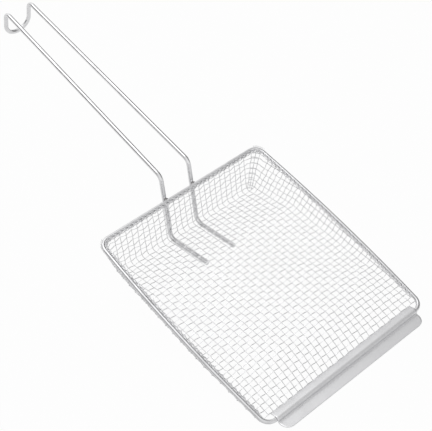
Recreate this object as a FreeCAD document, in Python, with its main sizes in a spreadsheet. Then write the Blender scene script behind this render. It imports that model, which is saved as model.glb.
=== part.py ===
import FreeCAD, Part

import math
import os

import Sketcher
from FreeCAD import Vector

# Wire-mesh scoop: a pan of woven wire cloth hemmed over a wire rim, a folded sheet lip and blade at
# the front, and a handle bent from one rod.
# The pieces are drawn in the rim's own frame: X runs from the back of the rim to the front, Z stands
# square to the rim. At the end the scoop is set down on its blade and on the rod's two lower bends.

# Driving sizes in millimetres and degrees
SIZES = {
    "rim_width": 203,
    "rim_length": 235,
    "rim_bow": 3.5,
    "rim_corner_radius": 10.5,
    "rim_wire_diameter": 4,
    "rim_tilt": 12,
    "rim_above_table": 1,
    "rod_diameter": 4.5,
    "rod_spacing": 35,
    "rod_to_rim_gap": 0.95,
    "rod_rise": 25.5,
    "lower_bend_radius": 8,
    "top_bend_radius": 8,
    "foot_length": 56,
    "foot_rise": 20,
    "handle_length": 258,
    "handle_rise": 0.9,
    "hook_width": 29,
    "hook_bend_radius": 7.5,
    "hook_drop": 20,
    "wall_lean": 20.5,
    "mesh_wire_diameter": 1.4,
    "mesh_crimp": 0.5,
    "mesh_clearance": 0.1,
    "mesh_fold_radius": 8,
    "lengthwise_pitch": 23,
    "crosswise_wires": 10,
    "fold_to_first_crosswise": 2.913,
    "wall_wire_depth": 21,
    "wall_wire_rows": 3,
    "lip_thickness": 1,
    "lip_leaf": 6.5,
    "lip_leaf_angle": 28,
    "lip_blade": 14,
    "lip_bend_radius": 1.2,
    "lip_blade_corner_radius": 9,
    "lip_clearance": 0.1,
    "section_sides": 18,
}

doc = FreeCAD.newDocument("mesh_scoop")
sheet = doc.addObject("Spreadsheet::Sheet", "sizes")
for row, (name, value) in enumerate(SIZES.items(), start=1):
    sheet.set(f"A{row}", name)
    sheet.set(f"B{row}", str(value))
    sheet.setAlias(f"B{row}", name)
doc.recompute()


def size(name):
    """Value of one driving size, read from the sheet."""
    return float(sheet.get(name))


def sin(degrees):
    return math.sin(math.radians(degrees))


def cos(degrees):
    return math.cos(math.radians(degrees))


def tan(degrees):
    return math.tan(math.radians(degrees))


RIM_RADIUS = size("rim_wire_diameter") / 2
ROD_RADIUS = size("rod_diameter") / 2
HALF_WIDTH = size("rim_width") / 2
RIM_LENGTH = size("rim_length")
TILT = size("rim_tilt")
LEAN = size("wall_lean")

# A six-sided bar with the section area of the round mesh wire
MESH_SIDES = 6
MESH_RADIUS = size("mesh_wire_diameter") / 2 * math.sqrt(
    2 * math.pi / (MESH_SIDES * sin(360 / MESH_SIDES)))

# Directions in the side view: up the back wall, square to it into the pan, along the rod's foot
WALL_UP = Vector(-sin(LEAN), 0, cos(LEAN))
WALL_IN = Vector(cos(LEAN), 0, sin(LEAN))
FOOT_ALONG = Vector(cos(size("foot_rise")), 0, sin(size("foot_rise")))
FOOT_UP = Vector(-sin(size("foot_rise")), 0, cos(size("foot_rise")))
SIDEWAYS = Vector(0, 1, 0)


def height(point):
    """Height above the table once the scoop has been set down."""
    front_wire = RIM_RADIUS + size("rim_above_table")
    return front_wire + (RIM_LENGTH - point.x) * sin(TILT) + point.z * cos(TILT)


def mirrored(point):
    return Vector(point.x, -point.y, point.z)


def arc_points(centre, start, end, steps):
    """Points on the arc from start to end about centre, both ends included."""
    first = start - centre
    last = end - centre
    axis = first.cross(last)
    turn = math.degrees(first.getAngle(last))
    return [
        centre + FreeCAD.Rotation(axis, turn * step / steps).multVec(first)
        for step in range(steps + 1)
    ]


def corner_arc(before, corner, after, radius):
    """Centre and tangent points of the arc that rounds a corner of a path."""
    back = (before - corner).normalize()
    ahead = (after - corner).normalize()
    half_angle = back.getAngle(ahead) / 2
    tangent = radius / math.tan(half_angle)
    centre = corner + (back + ahead).normalize() * (radius / math.sin(half_angle))
    return centre, corner + back * tangent, corner + ahead * tangent


def rounded_path(points, radii):
    """Edges of a path of straight runs, with each inner point rounded by its own radius."""
    edges = []
    run_start = points[0]
    for before, corner, after, radius in zip(points, points[1:], points[2:], radii):
        centre, arrive, leave = corner_arc(before, corner, after, radius)
        middle = centre + (corner - centre).normalize() * radius
        edges.append(Part.LineSegment(run_start, arrive).toShape())
        edges.append(Part.Arc(arrive, middle, leave).toShape())
        run_start = leave
    edges.append(Part.LineSegment(run_start, points[-1]).toShape())
    return edges


def bow_radius():
    """Radius of the outward bow of the rim's side wires."""
    bow = size("rim_bow")
    return (RIM_LENGTH ** 2 / 4 + bow ** 2) / (2 * bow)


def rim_side(x):
    """Half the rim's width at x."""
    radius = bow_radius()
    reach = math.sqrt(radius ** 2 - (x - RIM_LENGTH / 2) ** 2)
    return HALF_WIDTH + size("rim_bow") - radius + reach


# The rod's lower bend rests on the table, which fixes how deep the pan is at the back
ROD_OFFSET = -(RIM_RADIUS + size("rod_to_rim_gap") + ROD_RADIUS)
BEND = size("lower_bend_radius")
bend_start = WALL_IN * (ROD_OFFSET + BEND)
bend_drop = (height(bend_start) - BEND - ROD_RADIUS) / cos(LEAN - TILT)
BEND_CENTRE = bend_start - WALL_UP * bend_drop
FOOT_CORNER = BEND_CENTRE - WALL_IN * BEND - WALL_UP * (
    BEND * math.tan(math.radians(90 - LEAN + size("foot_rise")) / 2))
FOOT_END = FOOT_CORNER + FOOT_ALONG * size("foot_length")
TOP_CORNER = WALL_IN * ROD_OFFSET + WALL_UP * (size("rod_rise") / cos(LEAN))

# The long run ends in a corner, from which the hanging loop's legs go straight down
HANDLE_ALONG = Vector(-cos(size("handle_rise")), 0, sin(size("handle_rise")))
HOOK_CORNER = TOP_CORNER + HANDLE_ALONG * size("handle_length")
LOOP_CENTRE = HOOK_CORNER - Vector(0, 0, size("hook_drop"))
LOOP_BOTTOM = LOOP_CENTRE - Vector(0, 0, size("hook_width") / 2)

# The mesh lies inside the rods: its middle surface is this far from the middle of a rod
MESH_TO_ROD = ROD_RADIUS + MESH_RADIUS + size("mesh_crimp") / 2 + size("mesh_clearance")
MESH_OFFSET = ROD_OFFSET + MESH_TO_ROD
FLOOR_START = BEND_CENTRE - FOOT_UP * (BEND - MESH_TO_ROD)
FLOOR_KNEE = FOOT_END + FOOT_UP * MESH_TO_ROD
HALF_CLOTH = MESH_RADIUS + size("mesh_crimp") + size("mesh_clearance")

# The lip's leaf runs back and down from the top of the front wire to the mesh
SEAT_RADIUS = RIM_RADIUS + size("lip_clearance")
LEAF_ALONG = Vector(cos(size("lip_leaf_angle")), 0, sin(size("lip_leaf_angle")))
LEAF_UP = Vector(-sin(size("lip_leaf_angle")), 0, cos(size("lip_leaf_angle")))
FRONT_WIRE = Vector(RIM_LENGTH, 0, 0)
LEAF_TOP = FRONT_WIRE + LEAF_UP * SEAT_RADIUS
LEAF_BACK = LEAF_TOP - LEAF_ALONG * size("lip_leaf")
LIP_LENGTH = size("rim_width") - 2 * size("rim_corner_radius")
FLOOR_END = LEAF_BACK - Vector(0, 0, HALF_CLOTH)


def floor_height(x):
    """Height of the mesh floor's middle surface at x, in the rim's frame."""
    start, end = (FLOOR_START, FLOOR_KNEE) if x < FLOOR_KNEE.x else (FLOOR_KNEE, FLOOR_END)
    return start.z + (end.z - start.z) * (x - start.x) / (end.x - start.x)


def floor_up(x):
    """Direction square to the mesh floor at x."""
    start, end = (FLOOR_START, FLOOR_KNEE) if x < FLOOR_KNEE.x else (FLOOR_KNEE, FLOOR_END)
    along = (end - start).normalize()
    return Vector(-along.z, 0, along.x)


# Handle: one rod, swept along its bent path
def handle_path():
    """Path of the rod's centre from one foot to the other."""
    hook_side = SIDEWAYS * (size("hook_width") / 2)
    rod_side = SIDEWAYS * (size("rod_spacing") / 2)
    half = [
        FOOT_END - rod_side,
        FOOT_CORNER - rod_side,
        TOP_CORNER - rod_side,
        HOOK_CORNER - hook_side,
        LOOP_CENTRE - hook_side,
    ]
    radii = [BEND, size("top_bend_radius"), size("hook_bend_radius")]
    loop = Part.Arc(half[-1], LOOP_BOTTOM, mirrored(half[-1])).toShape()
    other_half = [mirrored(point) for point in reversed(half)]
    edges = rounded_path(half, radii) + [loop] + rounded_path(other_half, radii[::-1])
    return Part.Wire(edges)


def sweep_wire(name, path, start, along, diameter):
    """Sweeps a wire's section, which has enough sides to pass for round, along a path."""
    section = doc.addObject("Part::RegularPolygon", f"{name}_section")
    section.setExpression("Polygon", "sizes.section_sides")
    section.setExpression("Circumradius", f"{diameter} / 2")
    section.Placement = FreeCAD.Placement(start, FreeCAD.Rotation(Vector(0, 0, 1), along))
    sweep = doc.addObject("Part::Sweep", name)
    sweep.Sections = [section]
    sweep.Spine = (path, [f"Edge{n + 1}" for n in range(len(path.Shape.Edges))])
    sweep.Solid = True
    return sweep


def make_handle():
    path = doc.addObject("Part::Feature", "handle_path")
    path.Shape = handle_path()
    start = path.Shape.Vertexes[0].Point
    return sweep_wire("handle", path, start, FOOT_ALONG, "sizes.rod_diameter")


def origin_plane(body, role):
    """One of a body's own origin planes."""
    return next(item for item in body.Origin.OriginFeatures if item.Role == role)


def add_sketch(body, name, role):
    sketch = body.newObject("Sketcher::SketchObject", name)
    sketch.AttachmentSupport = [(origin_plane(body, role), "")]
    sketch.MapMode = "FlatFace"
    return sketch


def bind(sketch, kind, *elements, name, value, to):
    """Adds a constraint with its present value and binds it to the sheet."""
    index = sketch.addConstraint(Sketcher.Constraint(kind, *elements, value))
    sketch.renameConstraint(index, name)
    sketch.setExpression(f"Constraints.{name}", to)


# Rim wire: one wire swept along a rounded rectangle with bowed sides
def rim_corner(front, side):
    """Centre of the corner arc, its tangent point on the side wire and the one on the end wire."""
    corner = size("rim_corner_radius")
    radius = bow_radius()
    side_centre = Vector(RIM_LENGTH / 2, side * (HALF_WIDTH + size("rim_bow") - radius), 0)
    x = RIM_LENGTH - corner if front else corner
    reach = math.sqrt((radius - corner) ** 2 - (x - RIM_LENGTH / 2) ** 2)
    centre = Vector(x, side_centre.y + side * reach, 0)
    on_side = centre + (centre - side_centre).normalize() * corner
    on_end = centre + Vector(corner if front else -corner, 0, 0)
    return centre, on_side, on_end


def rim_side_arc(side, start, end):
    return Part.Arc(start, Vector(RIM_LENGTH / 2, side * (HALF_WIDTH + size("rim_bow")), 0), end)


def make_rim():
    """Rim wire, with its path drawn once round from the middle of the back wire."""
    path = doc.addObject("Sketcher::SketchObject", "rim_path")
    corner = size("rim_corner_radius")
    run_start = Vector()
    for front, side in ((False, -1), (True, -1), (True, 1), (False, 1)):
        centre, on_side, on_end = rim_corner(front, side)
        from_end = front == (side > 0)
        arrive, leave = (on_end, on_side) if from_end else (on_side, on_end)
        run = Part.LineSegment(run_start, arrive) if from_end else rim_side_arc(
            side, run_start, arrive)
        path.addGeometry(run, False)
        middle = centre + (on_side + on_end - centre * 2).normalize() * corner
        arc = path.addGeometry(Part.Arc(arrive, middle, leave), False)
        bind(path, "Radius", arc, name=f"{'front' if front else 'back'}_corner_{side + 2}",
             value=corner, to="sizes.rim_corner_radius")
        run_start = leave
    path.addGeometry(Part.LineSegment(run_start, Vector()), False)
    doc.recompute()
    return sweep_wire("rim_wire", path, Vector(), SIDEWAYS * -1, "sizes.rim_wire_diameter")


# Front lip: a strip of sheet folded over the front wire, with a flat blade on the table
def lip_outline():
    """Closed outline of the folded strip in the side view, as lines and arcs."""
    thickness = size("lip_thickness")
    bend = size("lip_bend_radius")
    table_along = Vector(cos(TILT), 0, sin(TILT))
    table_up = Vector(-sin(TILT), 0, cos(TILT))
    # The strip's outer face leaves the seat straight down to the blade
    outer = SEAT_RADIUS + thickness
    drop = height(FRONT_WIRE) - thickness - bend
    outer_front = FRONT_WIRE + table_along * outer
    inner_front = FRONT_WIRE + table_along * SEAT_RADIUS
    bend_centre = outer_front + table_along * bend - table_up * drop
    foot_top = bend_centre - table_up * bend
    foot_under = foot_top - table_up * thickness
    blade_top = FRONT_WIRE + table_along * size("lip_blade") - table_up * (
        height(FRONT_WIRE) - thickness)
    blade_under = blade_top - table_up * thickness

    def over_seat(radius):
        start = FRONT_WIRE + LEAF_UP * radius
        end = FRONT_WIRE + table_along * radius
        middle = FRONT_WIRE + (LEAF_UP + table_along).normalize() * radius
        return Part.Arc(start, middle, end)

    def into_blade(radius):
        start = bend_centre - table_along * radius
        end = bend_centre - table_up * radius
        middle = bend_centre - (table_along + table_up).normalize() * radius
        return Part.Arc(start, middle, end)

    leaf_back_top = LEAF_BACK + LEAF_UP * thickness
    leaf_front_top = LEAF_TOP + LEAF_UP * thickness
    outer_down = bend_centre - table_along * bend
    inner_down = bend_centre - table_along * (bend + thickness)
    return [
        Part.LineSegment(LEAF_BACK, LEAF_TOP),
        over_seat(SEAT_RADIUS),
        Part.LineSegment(inner_front, inner_down),
        into_blade(bend + thickness),
        Part.LineSegment(foot_under, blade_under),
        Part.LineSegment(blade_under, blade_top),
        Part.LineSegment(blade_top, foot_top),
        into_blade(bend),
        Part.LineSegment(outer_down, outer_front),
        over_seat(outer),
        Part.LineSegment(leaf_front_top, leaf_back_top),
        Part.LineSegment(leaf_back_top, LEAF_BACK),
    ]


def make_lip():
    body = doc.addObject("PartDesign::Body", "front_lip")
    outline = add_sketch(body, "lip_outline", "XZ_Plane")
    for piece in lip_outline():
        piece.rotate(FreeCAD.Placement(Vector(), FreeCAD.Rotation(Vector(1, 0, 0), -90)))
        outline.addGeometry(piece, False)
    pad = body.newObject("PartDesign::Pad", "lip_strip")
    pad.Profile = outline
    pad.setExpression("Length", "sizes.rim_width - 2 * sizes.rim_corner_radius")
    pad.Midplane = True
    doc.recompute()
    blade_tip = max(vertex.Point.x for vertex in pad.Shape.Vertexes)
    corners = [
        f"Edge{number}"
        for number, edge in enumerate(pad.Shape.Edges, start=1)
        if edge.Length < LIP_LENGTH
        and min(vertex.X for vertex in edge.Vertexes) > blade_tip - size("lip_thickness")
    ]
    rounding = body.newObject("PartDesign::Fillet", "blade_corners")
    rounding.Base = (pad, corners)
    rounding.setExpression("Radius", "sizes.lip_blade_corner_radius")
    return body


# Mesh pan: crimped wires woven over and under each other, their ends hooked over the rim wire
# A wire's end starts below the rim wire's inner side, this many degrees from level
HOOK_START = -50
HOOK_STEPS = 5
FOLD_STEPS = 3
HEM_CORNER_STEPS = 4
# A direction that no mesh wire follows, square to which each bar's first corner is set
BAR_REFERENCE = Vector(0.31, 0.22, 0.93)


def bar(points):
    """Six-sided bar along a bent line, mitred at each bend."""
    directions = [(after - before).normalize() for before, after in zip(points, points[1:])]
    first = directions[0]
    side = first.cross(BAR_REFERENCE).normalize()
    up = side.cross(first)
    ring = [
        points[0] + (side * cos(angle) + up * sin(angle)) * MESH_RADIUS
        for angle in (360 * number / MESH_SIDES for number in range(MESH_SIDES))
    ]
    rings = [ring]
    for number, direction in enumerate(directions, start=1):
        turned = number < len(directions)
        square = (direction + directions[number]).normalize() if turned else direction
        ring = [
            corner + direction * ((points[number] - corner).dot(square) / direction.dot(square))
            for corner in ring
        ]
        rings.append(ring)
    faces = [Part.Face(Part.makePolygon(end + end[:1])) for end in (rings[0], rings[-1])]
    for here, there in zip(rings, rings[1:]):
        for number in range(MESH_SIDES):
            after = (number + 1) % MESH_SIDES
            outline = [here[number], here[after], there[after], there[number], here[number]]
            faces.append(Part.Face(Part.makePolygon(outline)))
    solid = Part.Solid(Part.Shell(faces))
    if solid.Volume < 0:
        solid.reverse()
    return solid


def hook_over_rim(centre, inward, up):
    """Points of a wire's end from inside the rim wire, over it and down its outside."""
    span = (180 - HOOK_START) / HOOK_STEPS
    reach = (RIM_RADIUS + size("mesh_clearance") + MESH_RADIUS) / cos(span / 2)
    angles = [HOOK_START + span * step for step in range(HOOK_STEPS + 1)]
    return [centre + inward * (reach * cos(angle)) + up * (reach * sin(angle)) for angle in angles]


def crosswise_places():
    """Places along X of the crosswise wires, the last of them under the lip."""
    first = FLOOR_START.x + size("fold_to_first_crosswise")
    last = LEAF_BACK.x + MESH_RADIUS
    count = int(size("crosswise_wires"))
    return [first + (last - first) * number / count for number in range(count + 1)]


def lengthwise_places():
    """Places along Y of the lengthwise wires, as many as the flat floor takes at its back."""
    pitch = size("lengthwise_pitch")
    _, _, flat_edge = side_fold(crosswise_places()[0])
    count = 1 + int(-2 * flat_edge.y / pitch)
    return [pitch * (number - (count - 1) / 2) for number in range(count)]


def crimp(crosswise, lengthwise):
    """How far the crosswise wire rises at a crossing; the lengthwise wire sinks as far."""
    return size("mesh_crimp") * (1 if (crosswise + lengthwise) % 2 else -1)


def wall_wire_on_back():
    """Point of the back wall's middle surface where the wall wire runs."""
    return WALL_IN * MESH_OFFSET - WALL_UP * size("wall_wire_depth")


def lengthwise_wire(number, y):
    """Wire from the hem at the back, down the back wall and along the floor to the lip."""
    points = hook_over_rim(Vector(), WALL_IN, WALL_UP)
    points.append(wall_wire_on_back() - WALL_IN * crimp(0, number))
    inner_bend = BEND - MESH_TO_ROD
    points += arc_points(
        BEND_CENTRE, BEND_CENTRE - WALL_IN * inner_bend, BEND_CENTRE - FOOT_UP * inner_bend,
        FOLD_STEPS)
    for row, x in enumerate(crosswise_places(), start=1):
        points.append(Vector(x, 0, floor_height(x)) - floor_up(x) * crimp(row, number))
    tip = 2 * MESH_RADIUS
    points.append(points[-1] + (points[-1] - points[-2]).normalize() * tip)
    return bar([point + SIDEWAYS * y for point in points])


def side_wall_point(x, depth):
    """Point of the near side wall's middle surface."""
    y = rim_side(x) - MESH_OFFSET / cos(LEAN) - depth * tan(LEAN)
    return Vector(x, -y, -depth)


def side_hook(x):
    """Points of a wire's end over the near side of the rim."""
    inward = Vector(0, cos(LEAN), sin(LEAN))
    up = Vector(0, -sin(LEAN), cos(LEAN))
    return hook_over_rim(Vector(x, -rim_side(x), 0), inward, up)


def side_fold(x):
    """Centre of the fold between side wall and floor, and its edges on the wall and the floor."""
    corner = side_wall_point(x, -floor_height(x))
    wall_top = side_hook(x)[-1]
    radius = min(size("mesh_fold_radius"), (corner - wall_top).Length / 2)
    return corner_arc(wall_top, corner, corner + SIDEWAYS * HALF_WIDTH, radius)


def crosswise_wire(row, x):
    """Wire from the hem of one side, down that wall, across the floor and up the other wall."""
    inward = Vector(0, cos(LEAN), sin(LEAN))
    side = side_hook(x)
    if x < wall_wire_end():
        side.append(side_wall_point(x, wall_wire_depth(x)) - inward * crimp(row, 0))
    centre, arrive, leave = side_fold(x)
    side += arc_points(centre, arrive, leave, FOLD_STEPS)
    floor = [
        Vector(x, y, floor_height(x)) + floor_up(x) * crimp(row, number)
        for number, y in enumerate(lengthwise_places())
    ]
    return bar(side + floor + [mirrored(point) for point in reversed(side)])


def wall_wire_end():
    """Place along X where the wall wire stops, just past the last crosswise wire it crosses."""
    last_crossed = crosswise_places()[int(size("wall_wire_rows")) - 1]
    return last_crossed + size("mesh_wire_diameter")


def wall_wire_depth(x):
    """Depth of the wall wire along a side wall, where it rises to the rim."""
    start = wall_wire_on_back()
    end_depth = RIM_RADIUS + size("mesh_wire_diameter") * 2
    return -start.z + (end_depth + start.z) * (x - start.x) / (wall_wire_end() - start.x)


def wall_wire():
    """Wire along one side wall, across the back wall and along the other side wall."""
    inward = Vector(0, cos(LEAN), sin(LEAN))
    rows = [(row, x) for row, x in enumerate(crosswise_places(), start=1) if x < wall_wire_end()]
    tip = side_wall_point(wall_wire_end(), wall_wire_depth(wall_wire_end()))
    side = [tip] + [
        side_wall_point(x, wall_wire_depth(x)) + inward * crimp(row, 0) for row, x in reversed(rows)
    ]
    back = wall_wire_on_back()
    turn = side_wall_point(back.x, wall_wire_depth(back.x))
    centre, arrive, leave = corner_arc(
        side[-1], turn, Vector(back.x, 0, back.z), size("mesh_fold_radius"))
    side += arc_points(centre, arrive, leave, FOLD_STEPS)
    across = [
        back + SIDEWAYS * y + WALL_IN * crimp(0, number)
        for number, y in enumerate(lengthwise_places())
    ]
    return bar(side + across + [mirrored(point) for point in reversed(side)])


def lip_wire():
    """Last crosswise wire, under the lip, with its ends run out to the hem."""
    row = int(size("crosswise_wires")) + 1
    x = crosswise_places()[-1]
    floor = [
        Vector(x, y, floor_height(x)) + floor_up(x) * crimp(row, number)
        for number, y in enumerate(lengthwise_places())
    ]
    end = side_hook(hem_front())[0]
    near_end = Vector(x, -LIP_LENGTH / 2, floor_height(x))
    return bar([end, near_end] + floor + [mirrored(near_end), mirrored(end)])


def hem_front():
    return RIM_LENGTH - size("rim_corner_radius") - MESH_RADIUS


def hem_wire():
    """Edge wire of the cloth, inside the rim, where the hooked ends along back and sides stop."""
    back = hook_over_rim(Vector(), WALL_IN, WALL_UP)[0]
    places = crosswise_places()[:-1] + [hem_front()]
    side = [side_hook(x)[0] for x in reversed(places)]
    turn = Vector(back.x, side_hook(back.x)[0].y, back.z)
    radius = size("rim_corner_radius")
    centre, arrive, leave = corner_arc(side[-1], turn, Vector(back.x, 0, back.z), radius)
    side += arc_points(centre, arrive, leave, HEM_CORNER_STEPS)
    return bar(side + [mirrored(point) for point in reversed(side)])


def make_mesh():
    places = crosswise_places()
    wires = [hem_wire(), wall_wire(), lip_wire()]
    wires += [crosswise_wire(row, x) for row, x in enumerate(places[:-1], start=1)]
    wires += [lengthwise_wire(number, y) for number, y in enumerate(lengthwise_places())]
    cloth = wires[0].multiFuse(wires[1:])
    mesh = doc.addObject("Part::Feature", "mesh_pan")
    mesh.Shape = cloth.Solids[0] if len(cloth.Solids) == 1 else cloth
    return mesh


# Setting the scoop down: the blade and the lower bends on the table, its middle over the origin
def standing():
    turn = FreeCAD.Rotation(SIDEWAYS, TILT)
    rear = turn.multVec(LOOP_BOTTOM).x - ROD_RADIUS
    blade = turn.multVec(FRONT_WIRE).x + size("lip_blade")
    lift = height(Vector())
    return FreeCAD.Placement(Vector(-(rear + blade) / 2, 0, lift), turn)


pieces = [make_handle(), make_rim(), make_mesh(), make_lip()]
doc.recompute()
for piece in pieces:
    piece.Label = piece.Name
    piece.Placement = standing()
doc.recompute()

for item in doc.Objects:
    broken = {"Invalid", "Error"} & set(item.State)
    if broken:
        raise RuntimeError(f"{item.Name} did not compute: {sorted(broken)}")

os.makedirs("parts", exist_ok=True)
for piece in pieces:
    shape = piece.Shape
    if shape.isNull() or not shape.isValid() or not shape.Solids:
        raise RuntimeError(f"{piece.Label} is not a valid solid")
    shape.exportStep(f"parts/{piece.Label}.step")
    print(piece.Label, len(shape.Solids), round(shape.Volume, 1), shape.BoundBox)
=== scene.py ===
"""Wire-mesh scoop: a woven pan on a wire rim, with a folded sheet lip and a bent rod handle."""

import logging
import math
from dataclasses import dataclass
from enum import Enum
from typing import Any, Optional, Sequence, Union

import bmesh
import bpy
import numpy as np
from mathutils import Matrix, Vector, noise


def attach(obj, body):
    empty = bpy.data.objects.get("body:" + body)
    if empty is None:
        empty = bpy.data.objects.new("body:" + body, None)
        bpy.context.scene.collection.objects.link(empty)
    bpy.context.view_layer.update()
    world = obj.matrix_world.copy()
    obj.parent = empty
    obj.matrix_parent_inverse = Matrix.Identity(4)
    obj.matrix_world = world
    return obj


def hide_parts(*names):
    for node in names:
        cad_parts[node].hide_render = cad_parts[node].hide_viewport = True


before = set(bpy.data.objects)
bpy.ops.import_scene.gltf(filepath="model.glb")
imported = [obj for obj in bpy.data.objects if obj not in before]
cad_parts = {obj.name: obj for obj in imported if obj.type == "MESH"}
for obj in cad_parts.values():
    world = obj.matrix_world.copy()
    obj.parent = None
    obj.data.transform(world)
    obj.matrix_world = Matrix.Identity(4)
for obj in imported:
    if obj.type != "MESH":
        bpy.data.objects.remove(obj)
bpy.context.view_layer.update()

LOG = logging.getLogger("scoop")
MM = 0.001
ACROSS = Vector((0, 1, 0))
UP = Vector((0, 0, 1))
SHARP_ANGLE = math.radians(50)
NOISE_SEED = 7


class Slot(Enum):
    """Material slots that the finishes are listed under; no piece is given its slot here."""

    ROD = "plated_rod"
    RIM = "plated_rim"
    MESH = "mesh_wire"
    LIP = "lip_sheet"


class Grain(Enum):
    """How a metal surface was left by its last working."""

    DRAWN = "fine pits and scuffs of drawn and plated wire"
    ROLLED = "fine lines of rolled sheet"


@dataclass(frozen=True)
class ScoopSizes:
    """Driving sizes in metres and degrees, the same as the solids have."""

    rim_width: float = 203 * MM
    rim_length: float = 235 * MM
    rim_bow: float = 3.5 * MM
    rim_corner: float = 10.5 * MM
    rim_radius: float = 2 * MM
    tilt: float = 12
    above_table: float = 1 * MM
    rod_radius: float = 2.25 * MM
    rod_spacing: float = 35 * MM
    rod_gap: float = 0.95 * MM
    rod_rise: float = 25.5 * MM
    bend: float = 8 * MM
    foot_length: float = 56 * MM
    foot_rise: float = 20
    handle_length: float = 258 * MM
    handle_rise: float = 0.9
    hook_width: float = 29 * MM
    hook_bend: float = 7.5 * MM
    hook_drop: float = 20 * MM
    lean: float = 20.5
    lip_thickness: float = 1 * MM
    lip_leaf: float = 6.5 * MM
    lip_leaf_angle: float = 28
    lip_blade: float = 14 * MM
    lip_bend: float = 1.2 * MM
    lip_corner: float = 9 * MM
    lip_clearance: float = 0.1 * MM


def direction(degrees: float) -> Vector:
    """Unit vector in the side view, this many degrees up from the pan's front."""
    return Vector((math.cos(math.radians(degrees)), 0, math.sin(math.radians(degrees))))


def ramp(value: float, start: float, span: float) -> float:
    """Rises from 0 at the start to 1 a span further on, and is flat before and after."""
    return min(1.0, max(0.0, (value - start) / span))


def mirrored(point: Vector) -> Vector:
    """The same point on the other side of the middle plane."""
    return Vector((point.x, -point.y, point.z))


def arc(centre: Vector, start: Vector, end: Vector, step: float) -> list[Vector]:
    """Points on the arc from start to end about centre.

    Args:
        centre: Middle of the arc.
        start: First point, which sets the radius.
        end: Last point.
        step: Largest distance between two points.

    Returns:
        The points, both ends included.
    """
    first, last = start - centre, end - centre
    turn = first.angle(last)
    axis = first.cross(last)
    count = max(2, math.ceil(turn * first.length / step))
    return [centre + Matrix.Rotation(turn * n / count, 3, axis) @ first for n in range(count + 1)]


def rounded(points: Sequence[Vector], radii: Sequence[float], step: float) -> list[Vector]:
    """A path of straight runs whose inner corners are rounded.

    Args:
        points: Corners of the path, ends included.
        radii: Radius at each inner corner.
        step: Largest distance between two points on an arc.

    Returns:
        Points along the path.
    """
    path = [points[0]]
    for before, corner, after, radius in zip(points, points[1:], points[2:], radii):
        back = (before - corner).normalized()
        ahead = (after - corner).normalized()
        half = back.angle(ahead) / 2
        reach = radius / math.tan(half)
        centre = corner + (back + ahead).normalized() * (radius / math.sin(half))
        path += arc(centre, corner + back * reach, corner + ahead * reach, step)
    path.append(points[-1])
    return path


class Track:
    """A line that a wire follows, with the cloth's own direction outwards at each point."""

    def __init__(self, points: Sequence[Vector], normals: Sequence[Vector]) -> None:
        """Keeps the line.

        Args:
            points: Points along the line.
            normals: Direction square to the cloth at each point.
        """
        self.points = np.array([tuple(point) for point in points])
        self.normals = np.array([tuple(normal) for normal in normals])
        runs = np.linalg.norm(np.diff(self.points, axis=0), axis=1)
        self.at = np.concatenate([[0.0], np.cumsum(runs)])

    @property
    def length(self) -> float:
        """Length of the whole line."""
        return float(self.at[-1])

    def point(self, distance: float) -> Vector:
        """Point at a distance along the line."""
        return Vector([np.interp(distance, self.at, self.points[:, axis]) for axis in range(3)])

    def normal(self, distance: float) -> Vector:
        """Direction square to the cloth at a distance along the line."""
        return Vector(
            [np.interp(distance, self.at, self.normals[:, axis]) for axis in range(3)]
        ).normalized()


def side_normals(points: Sequence[Vector], axis: Vector) -> list[Vector]:
    """Directions square to a flat path and to the axis that it turns about."""
    normals = []
    for number in range(len(points)):
        before = points[max(0, number - 1)]
        after = points[min(len(points) - 1, number + 1)]
        normals.append((after - before).cross(axis).normalized())
    return normals


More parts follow.
